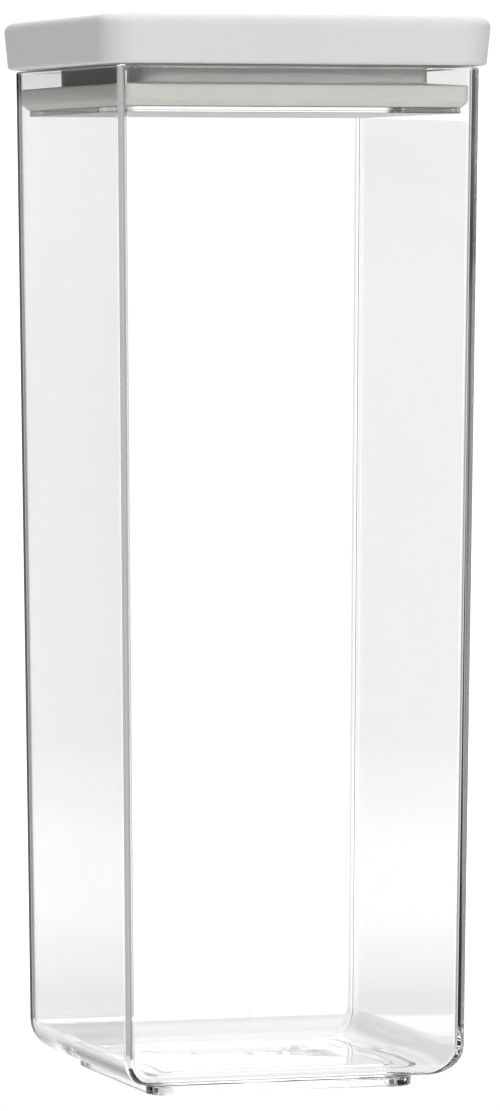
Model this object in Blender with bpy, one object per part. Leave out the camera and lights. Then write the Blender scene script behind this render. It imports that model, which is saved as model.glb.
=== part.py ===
"""Square storage canister: a clear moulded body with a stacking foot, and a lift-off lid
made of a cap, a plug, a clear retainer and a silicone seal.

Metres, +Z up. The origin is the bottom centre of the foot, and the front face looks along -Y.
Lengths below are in millimetres and are turned to metres where the points are made.

Every piece is a stack of rounded squares centred on the Z axis. Its profile lists
(half width, z, radius of the upright corners, profile fillet radius), in order along its skin.
"""

import math

import bmesh
import bpy

MM = 0.001
CORNER_STEPS = 6  # faces round each upright corner
FILLET_STEPS = 4  # faces round each profile fillet
FILLET_MAX_SHARE = 0.98  # most of a profile segment that one fillet may use
SHARP_ANGLE = math.radians(25)  # edges that turn more than this are shaded sharp

# Body
RIM_HALF = 52.3  # half the outer width at the rim
BASE_HALF = 49.2  # half the outer width, carried down to the table
RIM_Z = 284.8
WALL = 1.6
OUTER_CORNER = 1.4
INNER_CORNER = 1.8
BASE_FILLET = 9.0  # between wall and underside, outside
FLOOR_FILLET = 7.4  # between wall and floor, inside
FLOOR_Z = 5.2
FLOOR_END_INSET = 12.0  # from the wall to the last section of the floor
RIM_ROUND = 0.75

# Foot, the inset ring the body stands on
FOOT_HALF = 38.6
FOOT_CORNER = 6.0
FOOT_HEIGHT = 3.3
FOOT_FILLET = 1.2  # where the foot meets the underside
FOOT_RING = 4.2  # width of the ring
FOOT_DRAFT = 0.1  # widening of the foot towards the underside
UNDERSIDE_RISE = 0.1  # rise of the underside from foot to wall
RECESS_HALF = FOOT_HALF - FOOT_RING  # inside the foot ring, at the table
RECESS_CORNER = FOOT_CORNER - 1.5
RECESS_DRAFT = 0.2  # narrowing of the recess towards its roof
RECESS_Z = 3.2  # underside of the floor inside the foot ring
RECESS_END_INSET = 8.0

# Gate, a round dimple in the underside with a stub hanging in it
GATE_RADIUS = 6.8
GATE_FLARE = 0.4  # widening of the dimple towards its mouth
GATE_ROOF_Z = RECESS_Z + 0.5
GATE_STUB_RADIUS = 1.5
GATE_STUB_HEIGHT = 0.35

# Cap
GAP = 0.3  # clearance between pieces
CAP_Z = RIM_Z + GAP
CAP_TOP = 298.6
CAP_HALF_LOW = 55.8
CAP_HALF_HIGH = 56.9
CAP_CORNER = 10.0
CAP_TOP_ROUND = 2.8
CAP_LOW_ROUND = 1.1
CAP_SHELL = 2.2  # wall thickness
CAVITY_HALF = CAP_HALF_LOW - CAP_SHELL  # at the bottom of the hollow in the cap
CAVITY_DRAFT = 0.3  # widening of the hollow towards its roof
OPENING_HALF = CAP_HALF_LOW - 6.0  # inside the flat ring that rests over the rim
OPENING_CORNER = CAP_CORNER - 2.5
CAVITY_CORNER = OPENING_CORNER + 1

# Nest, the stacking recess in the cap's top, for the foot of the canister above
NEST_HALF = 41.0
NEST_CORNER = 7.5
NEST_Z = CAP_TOP - 2.2
NEST_DRAFT = 0.3  # narrowing of the nest towards its floor
NEST_END_INSET = 8.0

# Plug, the square cup under the cap that the seal goes round
NECK_HALF = 41.6
NECK_CORNER = 5.5
PLUG_WALL = 2.0
PLUG_DRAFT = 0.1  # widening towards the flange, inside and outside
PLUG_INNER_CORNER = NECK_CORNER - 1.5
PLUG_Z = 273.8  # underside of the plug
PLUG_UNDER_INSET = 14.0
PLUG_FLOOR_INSET = 12.0
FLANGE_Z = CAP_Z + 0.1
FLANGE_TOP = CAP_Z + 2.2

# Retainer, the clear plate that holds the seal up
RETAINER_HALF = 48.7
RETAINER_CORNER = 4.0
RETAINER_Z = 271.9
RETAINER_TOP = 273.5
RETAINER_ROUND = 0.1
RETAINER_END_INSET = 14.0

# Seal
SEAL_Z = RETAINER_TOP + 0.1
SEAL_TOP = 280.3
SEAL_LIP_HALF = 50.3
SEAL_LIP_Z = 279.6
SEAL_TAPER_Z = 275.3
SEAL_LOW_HALF = RETAINER_HALF
SEAL_CORNER = 2.5
SEAL_INNER_ROUND = 0.25


def clear_scene():
    for obj in list(bpy.data.objects):
        bpy.data.objects.remove(obj, do_unlink=True)


# Materials


def material(name, colour, roughness, transmission=0.0, ior=1.5):
    made = bpy.data.materials.new(name)
    made.use_nodes = True
    shader = made.node_tree.nodes["Principled BSDF"]
    shader.inputs["Base Color"].default_value = (*colour, 1.0)
    shader.inputs["Roughness"].default_value = roughness
    shader.inputs["Metallic"].default_value = 0.0
    shader.inputs["IOR"].default_value = ior
    shader.inputs["Transmission Weight"].default_value = transmission
    # A fully clear material is see-through in the viewport too, at 30 % opacity.
    made.diffuse_color = (*colour, 1.0 - 0.7 * transmission)
    return made


def clear_plastic():
    return material(
        "clear_plastic", colour=(0.96, 0.97, 0.98), roughness=0.05, transmission=1.0, ior=1.57
    )


def grey_plastic():
    return material("grey_plastic", colour=(0.66, 0.66, 0.65), roughness=0.42)


def warm_grey_silicone():
    return material("warm_grey_silicone", colour=(0.58, 0.56, 0.53), roughness=0.6)


# Shape helpers


def square_ring(half, corner, z):
    """One rounded square, as points in order."""
    points = []
    inset = half - corner
    for quarter, (side_x, side_y) in enumerate(((1, 1), (-1, 1), (-1, -1), (1, -1))):
        for step in range(CORNER_STEPS + 1):
            angle = (quarter + step / CORNER_STEPS) * math.pi / 2
            x = side_x * inset + corner * math.cos(angle)
            y = side_y * inset + corner * math.sin(angle)
            points.append((x, y, z))
    return points


def round_ring(radius, z):
    """One circle with as many points as a rounded square."""
    count = 4 * (CORNER_STEPS + 1)
    angles = [(i + 0.5) * 2 * math.pi / count for i in range(count)]
    return [(radius * math.cos(angle), radius * math.sin(angle), z) for angle in angles]


def fillet_arc(before, point, after):
    """The sections of the arc that replaces one profile point, between its two neighbours."""
    half, z, corner, fillet = point
    back = (before[0] - half, before[1] - z)
    ahead = (after[0] - half, after[1] - z)
    back_angle = math.atan2(back[1], back[0])
    ahead_angle = math.atan2(ahead[1], ahead[0])
    # Signed angle between the two segments, from -pi to pi.
    opening = (ahead_angle - back_angle + math.pi) % (2 * math.pi) - math.pi
    half_opening = abs(opening) / 2
    side = math.copysign(1, opening)

    # A fillet too big for its segments shrinks to fit.
    room = FILLET_MAX_SHARE * min(math.hypot(*back), math.hypot(*ahead))
    radius = min(fillet / math.tan(half_opening), room) * math.tan(half_opening)
    reach = radius / math.sin(half_opening)
    bisector = back_angle + opening / 2
    centre_x = half + reach * math.cos(bisector)
    centre_z = z + reach * math.sin(bisector)
    start = back_angle - side * math.pi / 2
    turn = opening - side * math.pi
    angles = [start + turn * step / FILLET_STEPS for step in range(FILLET_STEPS + 1)]
    return [
        (centre_x + radius * math.cos(angle), centre_z + radius * math.sin(angle), corner)
        for angle in angles
    ]


def filleted(profile):
    """The profile as (half width, z, corner radius) sections, with its fillets put in.

    The neighbours wrap round, as a closed profile needs. An open one has no fillet at its ends.
    """
    sections = []
    for i, point in enumerate(profile):
        if point[3] > 0:
            after = profile[(i + 1) % len(profile)]
            sections += fillet_arc(profile[i - 1], point, after)
        else:
            sections.append(point[:3])
    return sections


def loft(name, sections, made_of, closed=False):
    """A solid whose skin runs through the sections. A section with no corner radius is a circle.

    Both ends are capped, or, if closed, the last section joins the first.
    """
    mesh = bmesh.new()
    rings = []
    for half, z, corner in sections:
        points = round_ring(half, z) if corner is None else square_ring(half, corner, z)
        rings.append([mesh.verts.new([length * MM for length in point]) for point in points])
    if closed:
        rings.append(rings[0])
    else:
        mesh.faces.new(rings[0])
        mesh.faces.new(rings[-1])
    for ring, following in zip(rings, rings[1:]):
        for i in range(len(ring)):
            mesh.faces.new((ring[i], ring[i - 1], following[i - 1], following[i]))
    bmesh.ops.recalc_face_normals(mesh, faces=mesh.faces)
    for face in mesh.faces:
        face.smooth = True

    data = bpy.data.meshes.new(name)
    mesh.to_mesh(data)
    mesh.free()
    data.set_sharp_from_angle(angle=SHARP_ANGLE)
    data.materials.append(made_of)
    obj = bpy.data.objects.new(name, data)
    bpy.context.scene.collection.objects.link(obj)
    return obj


# Pieces


def outer_half(z):
    """Half the body's outer width at a height: the wall has moulding draft."""
    return BASE_HALF + (RIM_HALF - BASE_HALF) * z / RIM_Z


def container_body(plastic):
    """One open-topped moulding, from the gate out over the foot, up the wall and down inside."""
    gate = [
        (GATE_STUB_RADIUS, GATE_ROOF_Z - GATE_STUB_HEIGHT, None),
        (GATE_STUB_RADIUS, GATE_ROOF_Z, None),
        (GATE_RADIUS - GATE_FLARE, GATE_ROOF_Z, None),
        (GATE_RADIUS, RECESS_Z, None),
    ]
    underside_half = outer_half(FOOT_HEIGHT)
    floor_half = outer_half(FLOOR_Z) - WALL
    profile = [
        (RECESS_HALF - RECESS_END_INSET, RECESS_Z, RECESS_CORNER, 0),
        (RECESS_HALF - RECESS_DRAFT, RECESS_Z, RECESS_CORNER, 0.5),
        (RECESS_HALF, 0.0, RECESS_CORNER, 0.4),
        (FOOT_HALF, 0.0, FOOT_CORNER, 0.5),
        (FOOT_HALF + FOOT_DRAFT, FOOT_HEIGHT, FOOT_CORNER, FOOT_FILLET),
        (underside_half, FOOT_HEIGHT + UNDERSIDE_RISE, OUTER_CORNER, BASE_FILLET),
        (RIM_HALF, RIM_Z, OUTER_CORNER, RIM_ROUND),
        (RIM_HALF - WALL, RIM_Z, INNER_CORNER, RIM_ROUND),
        (floor_half, FLOOR_Z, INNER_CORNER, FLOOR_FILLET),
        (floor_half - FLOOR_END_INSET, FLOOR_Z, INNER_CORNER, 0),
    ]
    return loft("container_body", gate + filleted(profile), plastic)


def lid_cap(plastic):
    """A shell with the nest in its top and a flat ring underneath, open in the middle."""
    roof_z = NEST_Z - CAP_SHELL
    ring_top = CAP_Z + CAP_SHELL
    profile = [
        (NEST_HALF - NEST_END_INSET, NEST_Z, NEST_CORNER, 0),
        (NEST_HALF - NEST_DRAFT, NEST_Z, NEST_CORNER, 0.6),
        (NEST_HALF, CAP_TOP, NEST_CORNER, 0.7),
        (CAP_HALF_HIGH, CAP_TOP, CAP_CORNER, CAP_TOP_ROUND),
        (CAP_HALF_LOW, CAP_Z, CAP_CORNER, CAP_LOW_ROUND),
        (OPENING_HALF, CAP_Z, OPENING_CORNER, 0.3),
        (OPENING_HALF, ring_top, OPENING_CORNER, 0.3),
        (CAVITY_HALF, ring_top, CAVITY_CORNER, 0.8),
        (CAVITY_HALF + CAVITY_DRAFT, roof_z, CAVITY_CORNER, 1.0),
        (NEST_HALF - NEST_END_INSET, roof_z, CAVITY_CORNER, 0),
    ]
    return loft("lid_cap", filleted(profile), plastic)


def lid_plug(plastic):
    """A square cup, open upwards into the cap, with a flange that fills the cap's opening."""
    flange_half = OPENING_HALF - GAP
    inside = NECK_HALF - PLUG_WALL
    floor_z = PLUG_Z + PLUG_WALL
    profile = [
        (NECK_HALF - PLUG_UNDER_INSET, PLUG_Z, NECK_CORNER, 0),
        (NECK_HALF, PLUG_Z, NECK_CORNER, 0.4),
        (NECK_HALF + PLUG_DRAFT, FLANGE_Z, NECK_CORNER, 0.4),
        (flange_half, FLANGE_Z, OPENING_CORNER, 0.3),
        (flange_half, FLANGE_TOP, OPENING_CORNER, 0.3),
        (inside + PLUG_DRAFT, FLANGE_TOP, PLUG_INNER_CORNER, 0.6),
        (inside, floor_z, PLUG_INNER_CORNER, 1.0),
        (inside - PLUG_FLOOR_INSET, floor_z, PLUG_INNER_CORNER, 0),
    ]
    return loft("lid_plug", filleted(profile), plastic)


def seal_retainer(plastic):
    """A flat clear plate under the plug, wider than the neck, so it holds the seal up."""
    end_half = RETAINER_HALF - RETAINER_END_INSET
    profile = [
        (end_half, RETAINER_Z, RETAINER_CORNER, 0),
        (RETAINER_HALF, RETAINER_Z, RETAINER_CORNER, RETAINER_ROUND),
        (RETAINER_HALF, RETAINER_TOP, RETAINER_CORNER, RETAINER_ROUND),
        (end_half, RETAINER_TOP, RETAINER_CORNER, 0),
    ]
    return loft("seal_retainer", filleted(profile), plastic)


def lid_seal(rubber):
    """A ring round the plug: its top slopes down to an upright lip, tapered in below."""
    inside = NECK_HALF + PLUG_DRAFT + GAP
    profile = [
        (inside, SEAL_TOP, NECK_CORNER, SEAL_INNER_ROUND),
        (SEAL_LIP_HALF, SEAL_LIP_Z, SEAL_CORNER, 0.5),
        (SEAL_LIP_HALF, SEAL_TAPER_Z, SEAL_CORNER, 1.2),
        (SEAL_LOW_HALF, SEAL_Z, SEAL_CORNER, 0.3),
        (inside, SEAL_Z, NECK_CORNER, SEAL_INNER_ROUND),
    ]
    return loft("lid_seal", filleted(profile), rubber, closed=True)


def build():
    clear_scene()
    clear = clear_plastic()
    grey = grey_plastic()
    container_body(clear)

    # The lid's pieces hang from an empty at the cap's underside, so the lid lifts as one.
    lid = bpy.data.objects.new("lid", None)
    lid.location = (0.0, 0.0, CAP_Z * MM)
    bpy.context.scene.collection.objects.link(lid)
    pieces = (lid_cap(grey), lid_plug(grey), seal_retainer(clear), lid_seal(warm_grey_silicone()))
    for piece in pieces:
        piece.parent = lid
        piece.location = (0.0, 0.0, -CAP_Z * MM)


build()
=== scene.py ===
"""Square storage canister with a press-in lid: a clear body, grey lid parts and a silicone seal.

It stands on z = 0, centred on the z axis, with its flat sides facing x and y. Sizes are in
millimetres. Each piece is a skin lofted through level, mostly rounded-square sections. The
camera looks from the -y side, a little to the -x side, in a studio that turns with it.
"""

import math

import bpy
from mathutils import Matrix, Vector


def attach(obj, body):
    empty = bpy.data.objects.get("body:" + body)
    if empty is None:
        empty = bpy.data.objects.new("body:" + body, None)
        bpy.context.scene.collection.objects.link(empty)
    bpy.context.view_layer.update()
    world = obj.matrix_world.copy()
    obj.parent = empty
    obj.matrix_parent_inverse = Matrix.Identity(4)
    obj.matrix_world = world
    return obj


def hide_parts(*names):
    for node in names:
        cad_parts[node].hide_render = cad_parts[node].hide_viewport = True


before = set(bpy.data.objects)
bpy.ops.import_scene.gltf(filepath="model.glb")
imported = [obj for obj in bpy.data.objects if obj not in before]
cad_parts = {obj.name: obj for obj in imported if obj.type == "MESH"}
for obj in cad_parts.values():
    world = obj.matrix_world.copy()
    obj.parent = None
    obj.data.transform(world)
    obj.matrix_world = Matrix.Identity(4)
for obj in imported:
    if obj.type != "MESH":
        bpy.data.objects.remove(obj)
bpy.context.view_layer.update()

MM = 0.001
CORNER_STEPS = 14  # per quarter turn round a section
FILLET_STEPS = 8  # per quarter turn of a fillet
SUPPORT = 0.06  # from the end of a round to the ring that keeps the flat beside it flat
RING_POINTS = 4 * (CORNER_STEPS + 3)

# "Half" is half the width across the flats; "corner" is the radius of a section's corners.
# Body
RIM_HALF, BASE_HALF, RIM_Z = 52.3, 49.2, 284.8
WALL, WALL_CORNER, INNER_CORNER = 1.6, 1.4, 1.8
BASE_FILLET, FLOOR_FILLET, FLOOR_Z, RIM_ROUND = 9.0, 7.4, 5.2, 0.75
FLOOR_INSET = 12  # from the inner wall to the last section of the floor
FOOT_HALF, FOOT_CORNER, FOOT_HEIGHT, FOOT_FILLET, FOOT_RING = 38.6, 6.0, 3.3, 1.2, 4.2
RECESS_Z, RECESS_CORNER, RECESS_INSET = 3.2, FOOT_CORNER - 1.5, 8
GATE_RADIUS, GATE_DEPTH = 6.8, 0.5
GATE_STUB_RADIUS, GATE_STUB_HEIGHT = 1.5, 0.35

# Cap, and the opening in its underside
GAP = 0.3  # clearance between parts
CAP_Z, CAP_TOP = RIM_Z + GAP, 298.6
CAP_HALF_LOW, CAP_HALF_HIGH, CAP_CORNER = 55.8, 56.9, 10.0
CAP_TOP_ROUND, CAP_LOW_ROUND, CAP_SHELL, CAP_LIP = 2.8, 1.1, 2.2, 6.0
NEST_HALF, NEST_CORNER, NEST_DEPTH = 41.0, 7.5, 2.2
CAP_CENTRE_HALF = NEST_HALF - 8  # innermost section, above and below
OPENING_HALF, OPENING_CORNER = CAP_HALF_LOW - CAP_LIP, CAP_CORNER - 2.5

# Plug cup below the cap
NECK_HALF, NECK_CORNER, PLUG_WALL, PLUG_Z = 41.6, 5.5, 2.0, 273.8
NECK_TOP_HALF = NECK_HALF + 0.1
CUP_HALF, CUP_CORNER = NECK_HALF - PLUG_WALL, NECK_CORNER - 1.5
FLANGE_Z, FLANGE_TOP = CAP_Z + 0.1, CAP_Z + 2.2
PLUG_BOTTOM_INSET, CUP_FLOOR_INSET = 14, 12

# Retainer plate
RETAINER_HALF, RETAINER_CORNER, RETAINER_ROUND = 48.7, 4.0, 0.1
RETAINER_Z, RETAINER_TOP, RETAINER_INSET = 271.9, 273.5, 14

# Seal round the neck
SEAL_HOLE_HALF, SEAL_CORNER = NECK_TOP_HALF + GAP, 2.5
SEAL_TOP, SEAL_LIP_HALF, SEAL_LIP_Z = 280.3, 50.3, 279.6
SEAL_TAPER_Z, SEAL_LOW_HALF, SEAL_Z = 275.3, 48.7, RETAINER_TOP + 0.1


# ---------------------------------------------------------------- shapes


def square_ring(half, corner, z):
    """A rounded square, with a supporting point beyond each end of each corner's arc."""
    points = []
    inset = half - corner
    for quarter, (side_x, side_y) in enumerate(((1, 1), (-1, 1), (-1, -1), (1, -1))):
        angles = [(quarter + step / CORNER_STEPS) * math.pi / 2 for step in range(CORNER_STEPS + 1)]
        stations = [(angle, 0.0) for angle in angles]
        for angle, slip in [(angles[0], -SUPPORT), *stations, (angles[-1], SUPPORT)]:
            x = side_x * inset + corner * math.cos(angle) - slip * math.sin(angle)
            y = side_y * inset + corner * math.sin(angle) + slip * math.cos(angle)
            points.append((x, y, z))
    return points


def round_ring(radius, z):
    """A circle with as many points as a rounded square."""
    angles = [(i + 0.5) * 2 * math.pi / RING_POINTS for i in range(RING_POINTS)]
    return [(radius * math.cos(angle), radius * math.sin(angle), z) for angle in angles]


def fillet_points(apex, before, after, radius):
    """Arc that rounds the corner at apex, with a supporting point on either side."""

    def toward(target):
        length = math.dist(target, apex)
        return (target[0] - apex[0]) / length, (target[1] - apex[1]) / length

    def along(direction, distance):
        return apex[0] + direction[0] * distance, apex[1] + direction[1] * distance

    back, ahead = toward(before), toward(after)
    half_angle = math.acos(back[0] * ahead[0] + back[1] * ahead[1]) / 2
    run = radius / math.tan(half_angle)
    bisector = toward((apex[0] + back[0] + ahead[0], apex[1] + back[1] + ahead[1]))
    centre = along(bisector, radius / math.sin(half_angle))
    first, last = along(back, run), along(ahead, run)
    start = math.atan2(first[1] - centre[1], first[0] - centre[0])
    end = math.atan2(last[1] - centre[1], last[0] - centre[0])
    turn = (end - start + math.pi) % (2 * math.pi) - math.pi
    steps = max(3, round(FILLET_STEPS * abs(turn) / (math.pi / 2)))
    angles = [start + turn * step / steps for step in range(steps + 1)]
    arc = [(centre[0] + radius * math.cos(a), centre[1] + radius * math.sin(a)) for a in angles]
    return [along(back, run + SUPPORT), *arc, along(ahead, run + SUPPORT)]


def filleted(profile, closed=False):
    """Sections (half, z, corner) of a profile whose rows are (half, z, corner, fillet)."""
    sections = []
    count = len(profile)
    for index, (half, z, corner, fillet) in enumerate(profile):
        if fillet <= 0 or (not closed and index in (0, count - 1)):
            sections.append((half, z, corner))
            continue
        before, after = profile[index - 1][:2], profile[(index + 1) % count][:2]
        points = fillet_points((half, z), before, after, fillet)
        sections += [(point_half, point_z, corner) for point_half, point_z in points]
    return sections


def signed_volume(verts, faces):
    """Six times the enclosed volume; negative when the faces point inward."""
    volume = 0.0
    for face in faces:
        first, *others = [Vector(verts[index]) for index in face]
        for second, third in zip(others, others[1:]):
            volume += first.dot(second.cross(third))
    return volume


def loft(name, sections, closed=False):
    """A smooth closed skin through sections (half, z, corner); corner None makes a circle."""
    verts, faces = [], []
    for half, z, corner in sections:
        ring = round_ring(half, z) if corner is None else square_ring(half, corner, z)
        verts += [(x * MM, y * MM, height * MM) for x, y, height in ring]
    rows = len(sections)
    for row in range(rows if closed else rows - 1):
        here, there = row * RING_POINTS, ((row + 1) % rows) * RING_POINTS
        for i in range(RING_POINTS):
            j = (i + 1) % RING_POINTS
            faces.append((here + i, here + j, there + j, there + i))
    if not closed:
        faces.append(tuple(reversed(range(RING_POINTS))))
        faces.append(tuple(range((rows - 1) * RING_POINTS, rows * RING_POINTS)))
    if signed_volume(verts, faces) < 0:
        faces = [tuple(reversed(face)) for face in faces]
    mesh = bpy.data.meshes.new(name)
    mesh.from_pydata(verts, [], faces)
    mesh.validate()
    for polygon in mesh.polygons:
        polygon.use_smooth = True
    piece = bpy.data.objects.new(name, mesh)
    bpy.context.scene.collection.objects.link(piece)
    return piece


# ---------------------------------------------------------------- pieces


def outer_half(z):
    """Half width of the tapered body at a height."""
    return BASE_HALF + (RIM_HALF - BASE_HALF) * z / RIM_Z


def clear_body():
    """From the gate under the middle, out over the foot, up the wall and down to the floor."""
    gate_top = RECESS_Z + GATE_DEPTH
    stub_z = gate_top - GATE_STUB_HEIGHT
    gate = [  # (radius, z), from the axis outward
        (0.4, stub_z),
        (GATE_STUB_RADIUS - 0.12, stub_z),
        (GATE_STUB_RADIUS - 0.03, stub_z + 0.03),
        (GATE_STUB_RADIUS, stub_z + 0.12),
        (GATE_STUB_RADIUS, gate_top - 0.05),
        (GATE_STUB_RADIUS + 0.05, gate_top),
        (GATE_RADIUS - 0.55, gate_top),
        (GATE_RADIUS - 0.45, gate_top - 0.04),
        (GATE_RADIUS - 0.08, RECESS_Z + 0.06),
        (GATE_RADIUS + 0.05, RECESS_Z),
    ]
    recess_half = FOOT_HALF - FOOT_RING
    floor_half = outer_half(FLOOR_Z) - WALL
    profile = [
        (recess_half - RECESS_INSET, RECESS_Z, RECESS_CORNER, 0),
        (recess_half - 0.2, RECESS_Z, RECESS_CORNER, 0.5),
        (recess_half, 0.0, RECESS_CORNER, 0.4),
        (FOOT_HALF, 0.0, FOOT_CORNER, 0.5),
        (FOOT_HALF + 0.1, FOOT_HEIGHT, FOOT_CORNER, FOOT_FILLET),
        (outer_half(FOOT_HEIGHT), FOOT_HEIGHT + 0.1, WALL_CORNER, BASE_FILLET),
        (RIM_HALF, RIM_Z, WALL_CORNER, RIM_ROUND),
        (RIM_HALF - WALL, RIM_Z, INNER_CORNER, RIM_ROUND),
        (floor_half, FLOOR_Z, INNER_CORNER, FLOOR_FILLET),
        (floor_half - FLOOR_INSET, FLOOR_Z, INNER_CORNER, 0),
    ]
    return loft("clear_body", [(radius, z, None) for radius, z in gate] + filleted(profile))


def cap_shell():
    """From the sunken top, over the edge, under to the opening and back along the roof."""
    nest_z = CAP_TOP - NEST_DEPTH
    roof_z = nest_z - CAP_SHELL
    shell_z, shell_half = CAP_Z + CAP_SHELL, CAP_HALF_LOW - CAP_SHELL
    inner_corner = OPENING_CORNER + 1
    return loft("cap_shell", filleted([
        (CAP_CENTRE_HALF, nest_z, NEST_CORNER, 0),
        (NEST_HALF - 0.3, nest_z, NEST_CORNER, 0.6),
        (NEST_HALF, CAP_TOP, NEST_CORNER, 0.7),
        (CAP_HALF_HIGH, CAP_TOP, CAP_CORNER, CAP_TOP_ROUND),
        (CAP_HALF_LOW, CAP_Z, CAP_CORNER, CAP_LOW_ROUND),
        (OPENING_HALF, CAP_Z, OPENING_CORNER, 0.3),
        (OPENING_HALF, shell_z, OPENING_CORNER, 0.3),
        (shell_half, shell_z, inner_corner, 0.8),
        (shell_half + 0.3, roof_z, inner_corner, 1.0),
        (CAP_CENTRE_HALF, roof_z, inner_corner, 0),
    ]))


def plug_cup():
    """From the underside, up the neck, round the flange and down inside the cup."""
    flange_half = OPENING_HALF - GAP
    cup_z = PLUG_Z + PLUG_WALL
    return loft("plug_cup", filleted([
        (NECK_HALF - PLUG_BOTTOM_INSET, PLUG_Z, NECK_CORNER, 0),
        (NECK_HALF, PLUG_Z, NECK_CORNER, 0.4),
        (NECK_TOP_HALF, FLANGE_Z, NECK_CORNER, 0.4),
        (flange_half, FLANGE_Z, OPENING_CORNER, 0.3),
        (flange_half, FLANGE_TOP, OPENING_CORNER, 0.3),
        (CUP_HALF + 0.1, FLANGE_TOP, CUP_CORNER, 0.6),
        (CUP_HALF, cup_z, CUP_CORNER, 1.0),
        (CUP_HALF - CUP_FLOOR_INSET, cup_z, CUP_CORNER, 0),
    ]))


def retainer_plate():
    """Flat plate below the plug and the seal."""
    centre_half = RETAINER_HALF - RETAINER_INSET
    return loft("retainer_plate", filleted([
        (centre_half, RETAINER_Z, RETAINER_CORNER, 0),
        (RETAINER_HALF, RETAINER_Z, RETAINER_CORNER, RETAINER_ROUND),
        (RETAINER_HALF, RETAINER_TOP, RETAINER_CORNER, RETAINER_ROUND),
        (centre_half, RETAINER_TOP, RETAINER_CORNER, 0),
    ]))


def wiper_seal():
    """Solid ring round the neck."""
    return loft("wiper_seal", filleted([
        (SEAL_HOLE_HALF, SEAL_TOP, NECK_CORNER, 0.25),
        (SEAL_LIP_HALF, SEAL_LIP_Z, SEAL_CORNER, 0.5),
        (SEAL_LIP_HALF, SEAL_TAPER_Z, SEAL_CORNER, 1.2),
        (SEAL_LOW_HALF, SEAL_Z, SEAL_CORNER, 0.3),
        (SEAL_HOLE_HALF, SEAL_Z, NECK_CORNER, 0.25),
    ], closed=True), closed=True)


# ---------------------------------------------------------------- node helpers


def feed(tree, node, inputs):
    """Set or link a node's inputs: each value is a constant or another node's output."""
    for key, value in inputs.items():
        if isinstance(value, bpy.types.NodeSocket):
            tree.links.new(value, node.inputs[key])
        else:
            node.inputs[key].default_value = value


class Nodes:
    """Short hand for building a node tree; most methods return an output socket."""

    def __init__(self, tree):
        self.tree = tree

    def add(self, kind, inputs=None, **attributes):
        node = self.tree.nodes.new(kind)
        for name, value in attributes.items():
            setattr(node, name, value)
        feed(self.tree, node, inputs or {})
        return node

    def noise(self, coords, scale, detail, rough):
        inputs = {"Vector": coords, "Scale": scale, "Detail": detail, "Roughness": rough}
        return self.add("ShaderNodeTexNoise", inputs).outputs["Fac"]

    def map_range(self, value, inputs, **attributes):
        inputs = {"Value": value, **inputs}
        return self.add("ShaderNodeMapRange", inputs, **attributes).outputs["Result"]

    def spread(self, value, low, high):
        """Spread a share of 0 to 1 over low to high."""
        return self.map_range(value, {"To Min": low, "To Max": high})

    def bump(self, height, strength, distance):
        inputs = {"Height": height, "Strength": strength, "Distance": distance}
        return self.add("ShaderNodeBump", inputs).outputs["Normal"]

    def math(self, operation, *values):
        return self.add("ShaderNodeMath", dict(enumerate(values)), operation=operation).outputs[0]

    def vector(self, operation, value, **inputs):
        inputs = {0: value, **inputs}
        return self.add("ShaderNodeVectorMath", inputs, operation=operation).outputs[0]

    def axes(self, value):
        return self.add("ShaderNodeSeparateXYZ", {0: value}).outputs

    def mix(self, factor, a, b, blend_type="MIX"):
        inputs = {"Factor": factor, "A": a, "B": b}
        node = self.add("ShaderNodeMix", inputs, data_type="RGBA", blend_type=blend_type)
        return node.outputs["Result"]

    def ramp(self, value, stops, interpolation="LINEAR"):
        """A colour ramp through (position 0-1, (red, green, blue)) stops."""
        node = self.add("ShaderNodeValToRGB", {"Fac": value})
        node.color_ramp.interpolation = interpolation
        elements = node.color_ramp.elements
        while len(elements) > 1:
            elements.remove(elements[-1])
        for index, (position, colour) in enumerate(stops):
            element = elements[0] if index == 0 else elements.new(position)
            element.position = position
            element.color = (*colour, 1.0)
        return node.outputs["Color"]


def new_material(name, **fixed):
    """A material, its nodes, and a function that feeds its principled shader."""
    made = bpy.data.materials.new(name)
    made.use_nodes = True
    shader = made.node_tree.nodes["Principled BSDF"]
    return made, Nodes(made.node_tree), lambda inputs: feed(made.node_tree, shader, inputs)


# ---------------------------------------------------------------- materials


def clear_plastic(name, tint, waviness):
    """Polished clear plastic: faint tint, slight flow waves and a hair of uneven polish."""
    made, nodes, shade = new_material(name)
    where = nodes.add("ShaderNodeTexCoord").outputs["Object"]
    polish = nodes.noise(where, scale=60.0, detail=4.0, rough=0.6)
    waves = nodes.noise(where, scale=14.0, detail=2.0, rough=0.45)
    shade({
        "Base Color": (*tint, 1.0),
        "IOR": 1.55,
        "Transmission Weight": 1.0,
        "Roughness": nodes.spread(polish, low=0.0, high=0.02),
        "Normal": nodes.bump(waves, strength=waviness, distance=0.0002),
    })
    return made


def satin_plastic(name, light, dark, rough, shine):
    """Satin plastic: fine grain, a slow drift of shade and small specks."""
    made, nodes, shade = new_material(name)
    where = nodes.add("ShaderNodeTexCoord").outputs["Object"]
    drift = nodes.noise(where, scale=9.0, detail=3.0, rough=0.5)
    speck = nodes.noise(where, scale=2600.0, detail=2.0, rough=0.6)
    speck_share = 0.35
    tone = nodes.math("MULTIPLY_ADD", speck, speck_share, drift)
    grain = nodes.noise(where, scale=3200.0, detail=3.0, rough=0.65)
    shade({
        "Base Color": nodes.ramp(tone, ((0.45, dark), (0.95, light))),
        "Roughness": nodes.spread(grain, low=rough - 0.07, high=rough + 0.07),
        "IOR": 1.5,
        "Specular IOR Level": shine,
        "Normal": nodes.bump(grain, strength=0.22, distance=0.00004),
    })
    return made


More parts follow.
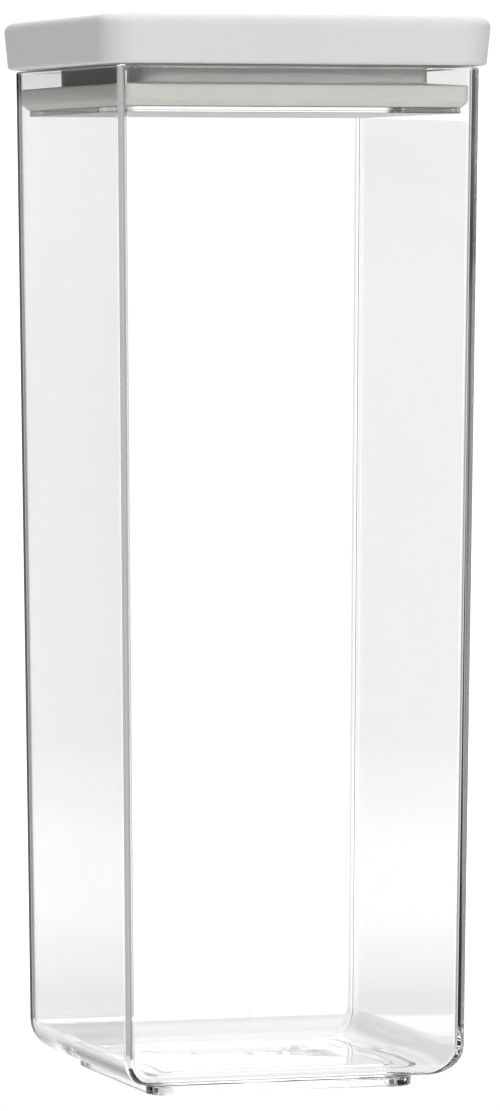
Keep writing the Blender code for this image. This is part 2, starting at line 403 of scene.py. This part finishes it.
def silicone(name, light, dark):
    """Matt silicone: a drift of shade, a soft sheen and a faint dusty grain."""
    made, nodes, shade = new_material(name)
    where = nodes.add("ShaderNodeTexCoord").outputs["Object"]
    drift = nodes.noise(where, scale=22.0, detail=4.0, rough=0.55)
    grain = nodes.noise(where, scale=1500.0, detail=4.0, rough=0.6)
    shade({
        "Base Color": nodes.ramp(drift, ((0.3, dark), (0.7, light))),
        "Roughness": nodes.spread(grain, low=0.5, high=0.68),
        "IOR": 1.41,
        "Sheen Weight": 0.12,
        "Sheen Roughness": 0.6,
        "Normal": nodes.bump(grain, strength=0.15, distance=0.00005),
    })
    return made


# ---------------------------------------------------------------- the object


def build_canister():
    wall = clear_plastic("clear_wall_plastic", tint=(0.988, 0.985, 0.987), waviness=0.12)
    clear_plate = clear_plastic("clear_plate_plastic", tint=(0.975, 0.975, 0.972), waviness=0.08)
    # Opaque grey for the faces of the clear plate that point down: painted shade on its underside.
    underside_painted_shade = satin_plastic("plate_underside_painted_shade", light=(0.54, 0.54, 0.535),
                              dark=(0.51, 0.51, 0.505), rough=0.7, shine=0.0)
    grey = satin_plastic("grey_lid_plastic", light=(0.52, 0.52, 0.51),
                         dark=(0.488, 0.488, 0.478), rough=0.45, shine=0.3)
    # Plug: the lid's grey plastic made a little lighter than the lid. This is painted light, so the
    # neck under the cap overhang and behind the clear wall reads brighter.
    plug_grey_painted_light = satin_plastic("grey_plug_plastic_lightened_for_shade", light=(0.55, 0.545, 0.53),
                              dark=(0.52, 0.515, 0.50), rough=0.6, shine=0.0)
    warm_grey = silicone("warm_grey_seal", light=(0.505, 0.495, 0.465),
                         dark=(0.475, 0.465, 0.435))

    body, cap, plug, plate, seal = (
        clear_body(), cap_shell(), plug_cup(), retainer_plate(), wiper_seal())
    # piece, moving body it rides, CAD node it replaces, material slot, material
    for piece, rides, node, slot, material in (
        (body, "container", "container_body", "clear_plastic", wall),
        (cap, "lid", "lid_cap", "grey_plastic", grey),
        (plug, "lid", "lid_plug", "grey_plastic", plug_grey_painted_light),
        (plate, "lid", "seal_retainer", "clear_plastic", clear_plate),
        (seal, "lid", "lid_seal", "warm_grey_silicone", warm_grey),
    ):
        piece.data.materials.append(material)
        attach(piece, rides)
        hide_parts(node)

    # The faces of the clear plate that point down get the grey: painted shade.
    plate.data.materials.append(underside_painted_shade)
    for polygon in plate.data.polygons:
        if polygon.normal.z < -0.9:
            polygon.material_index = 1


# ---------------------------------------------------------------- surroundings

# (angle, brightness) round the camera, in degrees: 0 is straight ahead, positive to the right
LOW = (  # band at the horizon, which the clear walls show
    (-180, 1.9), (-165, 1.7), (-154, 0.3), (-140, 0.1), (-110, 0.2), (-97, 0.36), (-85, 0.4),
    (-70, 0.42), (-57, 0.48), (-48, 0.4), (-40, 0.1), (-37, 0.05), (-35, 0.13), (-33.2, 0.33),
    (-32, 0.58), (-30, 0.5), (-27, 0.1), (-24.5, 0.1), (-22, 0.45), (-18, 0.75), (-10, 0.95),
    (10, 1.0), (24, 0.7), (40, 0.8), (60, 0.5), (90, 0.3), (120, 0.9), (138, 1.2), (142, 0.6),
    (149, 0.5), (153, 1.4), (180, 1.9),
)
MIDDLE = (  # band above LOW
    (-180, 0.6), (-165, 0.4), (-150, 0.06), (-60, 0.04), (-38, 0.04), (-28, 0.2), (-15, 1.05),
    (15, 1.05), (30, 0.4), (45, 0.1), (95, 0.05), (118, 0.1), (150, 0.6), (165, 0.8), (180, 0.6),
)
STRIP = (  # long soft box inside MIDDLE, in shares of STRIP_GAIN
    (-180, 0.4), (-172, 0.1), (-150, 0.02), (-60, 0.02), (-30, 0.04), (-15, 0.21), (15, 0.21),
    (30, 0.08), (45, 0.03), (120, 0.03), (132, 0.1), (138, 1.8), (176, 1.8), (180, 0.5),
)
STRIP_GAIN = 5
GROUND = (  # floor far off
    (-180, 0.8), (-160, 0.5), (-140, 0.08), (-80, 0.1), (-60, 0.75), (-25, 0.8), (-15, 0.88),
    (20, 0.88), (45, 0.65), (90, 0.55), (110, 0.55), (130, 0.75), (160, 0.9), (180, 0.8),
)
DEEP = (  # floor close by
    (-180, 1.3), (-150, 1.9), (-60, 1.9), (-40, 1.1), (-25, 0.88), (20, 0.88), (45, 0.8),
    (100, 0.8), (130, 0.9), (160, 1.2), (180, 1.3),
)
TOP_LIGHT = 2.1  # brightness overhead

# (elevation in degrees, factor on LOW), straight ahead and at the left edge of the backdrop
AHEAD = (
    (-12, 1.03), (-7.4, 1.05), (-6.9, 1.11), (-6.5, 1.21), (-6.1, 1.38), (-5.7, 1.52),
    (-5.2, 1.52), (-4.7, 1.4), (-4.2, 1.3), (-2.0, 1.3), (2.0, 1.38),
)
BESIDE = ((-15.0, 1.0), (0.64, 1.0), (0.74, 0.15), (5.0, 0.15))
# (angle, share) of AHEAD and of BESIDE
AHEAD_SHARE = ((-16, 0.0), (-10, 1.0), (12, 1.0), (30, 0.0))
BESIDE_SHARE = ((-60, 0.0), (-50, 1.0), (-22, 1.0), (-17, 0.0))

BRIGHTEST = 3.0  # levels are held in ramps as shares of this, and the emitters multiply it back
FACTOR_RANGE = 2  # the factors on LOW are held as halves and doubled afterwards
HORIZON_FROM, HORIZON_TO = -15, 5  # elevations of AHEAD and BESIDE, spread over a whole ramp


def elevation_share(degrees):
    """Elevation as a share of the way from straight down to straight up."""
    return 0.5 + degrees / 180


def round_ramp(nodes, around, stops, full=1.0):
    """Grey ramp over the angle round the camera."""
    return nodes.ramp(around, [((angle + 180) / 360, (level / full,) * 3)
                               for angle, level in stops])


def horizon_ramp(nodes, near_horizon, stops, interpolation="LINEAR"):
    """Grey ramp over the elevations near the horizon."""
    span = HORIZON_TO - HORIZON_FROM
    return nodes.ramp(near_horizon, [((elevation - HORIZON_FROM) / span,
                                      (factor / FACTOR_RANGE,) * 3)
                                     for elevation, factor in stops], interpolation)


def surroundings(nodes, direction):
    """Light tent seen along a world direction, turning with the camera."""
    turned = nodes.add("ShaderNodeVectorTransform", {0: direction}, vector_type="VECTOR",
                       convert_from="WORLD", convert_to="CAMERA").outputs[0]
    seen = nodes.axes(nodes.vector("NORMALIZE", turned))
    angle = nodes.math("ARCTAN2", seen["X"], seen["Z"])
    around = nodes.math("MULTIPLY_ADD", angle, 1 / (2 * math.pi), 0.5)
    low, middle, ground, deep, strip = [
        round_ramp(nodes, around, stops, BRIGHTEST) for stops in (LOW, MIDDLE, GROUND, DEEP, STRIP)]

    upright = nodes.axes(nodes.vector("NORMALIZE", direction))["Z"]
    height = nodes.math("MULTIPLY_ADD", nodes.math("ARCSINE", upright), 1 / math.pi, 0.5)
    near_horizon = nodes.map_range(height, {
        "From Min": elevation_share(HORIZON_FROM), "From Max": elevation_share(HORIZON_TO)})

    def blend(below, above, start, end):
        """`below` up to elevation start, `above` from elevation end, smooth between."""
        share = nodes.map_range(height, {
            "From Min": elevation_share(start), "From Max": elevation_share(end),
        }, interpolation_type="SMOOTHSTEP")
        return nodes.mix(share, below, above)

    unchanged = (1 / FACTOR_RANGE,) * 3 + (1.0,)
    ahead = horizon_ramp(nodes, near_horizon, AHEAD, "EASE")
    beside = horizon_ramp(nodes, near_horizon, BESIDE)
    factor = nodes.mix(round_ramp(nodes, around, BESIDE_SHARE), unchanged, beside)
    factor = nodes.mix(round_ramp(nodes, around, AHEAD_SHARE), factor, ahead)
    low = nodes.mix(1.0, low, factor, "MULTIPLY")
    low = nodes.mix(1.0, low, low, "ADD")
    strip = nodes.vector("SCALE", strip, Scale=STRIP_GAIN)

    seen_light = blend(low, middle, 0.9, 1.6)
    seen_light = blend(seen_light, strip, 2.6, 3.6)
    seen_light = blend(seen_light, middle, 13.0, 16.0)
    seen_light = blend(seen_light, (TOP_LIGHT / BRIGHTEST,) * 3 + (1.0,), 24.0, 45.0)
    seen_light = blend(ground, seen_light, -8.6, -7.6)
    return blend(deep, seen_light, -30.0, -22.0)


# ---------------------------------------------------------------- studio


def studio_floor():
    """A disc that glows like the surroundings behind it, so it shows no shadow."""
    steps, radius, drop = 96, 3.0, 0.00015  # radius and drop in metres
    angles = [2 * math.pi * i / steps for i in range(steps)]
    ring = [(radius * math.cos(angle), radius * math.sin(angle), 0.0) for angle in angles]
    mesh = bpy.data.meshes.new("studio_floor")
    mesh.from_pydata(ring, [], [tuple(range(steps))])
    floor = bpy.data.objects.new("studio_floor", mesh)
    floor.location.z = -drop
    bpy.context.scene.collection.objects.link(floor)

    made, nodes, shade = new_material("studio_floor")
    incoming = nodes.add("ShaderNodeNewGeometry").outputs["Incoming"]
    outward = nodes.vector("SCALE", incoming, Scale=-1.0)
    shade({
        "Base Color": (0.0, 0.0, 0.0, 1.0),
        "Roughness": 1.0,
        "Specular IOR Level": 0.0,
        "Emission Strength": BRIGHTEST,
        "Emission Color": surroundings(nodes, outward),
    })
    mesh.materials.append(made)


def studio_world():
    world = bpy.data.worlds.new("studio")
    bpy.context.scene.world = world
    world.use_nodes = True
    nodes = Nodes(world.node_tree)
    direction = nodes.add("ShaderNodeTexCoord").outputs["Generated"]
    feed(world.node_tree, world.node_tree.nodes["Background"], {
        "Color": surroundings(nodes, direction),
        "Strength": BRIGHTEST,
    })


def studio_camera():
    """Long lens, level with the middle of the canister and looking slightly down (metres)."""
    azimuth, elevation = math.radians(-17.46), math.radians(2.773)
    target_z, distance, shift_right = 0.1476, 1.9512, 0.0018
    data = bpy.data.cameras.new("photo_camera")
    data.sensor_width = 36.0
    data.sensor_fit = "AUTO"
    data.lens = 223.55
    data.clip_start = 0.05
    data.clip_end = 50.0
    camera = bpy.data.objects.new("photo_camera", data)
    back = Vector((
        math.sin(azimuth) * math.cos(elevation),
        -math.cos(azimuth) * math.cos(elevation),
        math.sin(elevation),
    ))
    right = Vector((math.cos(azimuth), math.sin(azimuth), 0.0))
    camera.location = Vector((0, 0, target_z)) + back * distance + right * shift_right
    camera.rotation_mode = "QUATERNION"
    camera.rotation_quaternion = (-back).to_track_quat("-Z", "Y")
    bpy.context.scene.collection.objects.link(camera)
    bpy.context.scene.camera = camera


def render_settings():
    """Plain colours, and enough bounces to see through all the clear walls."""
    scene = bpy.context.scene
    scene.view_settings.view_transform = "Standard"
    scene.view_settings.look = "None"
    scene.cycles.max_bounces = 32
    scene.cycles.transmission_bounces = 32
    scene.cycles.glossy_bounces = 16
    scene.cycles.diffuse_bounces = 4
    scene.cycles.blur_glossy = 0.0


build_canister()
studio_floor()
studio_world()
studio_camera()
render_settings()
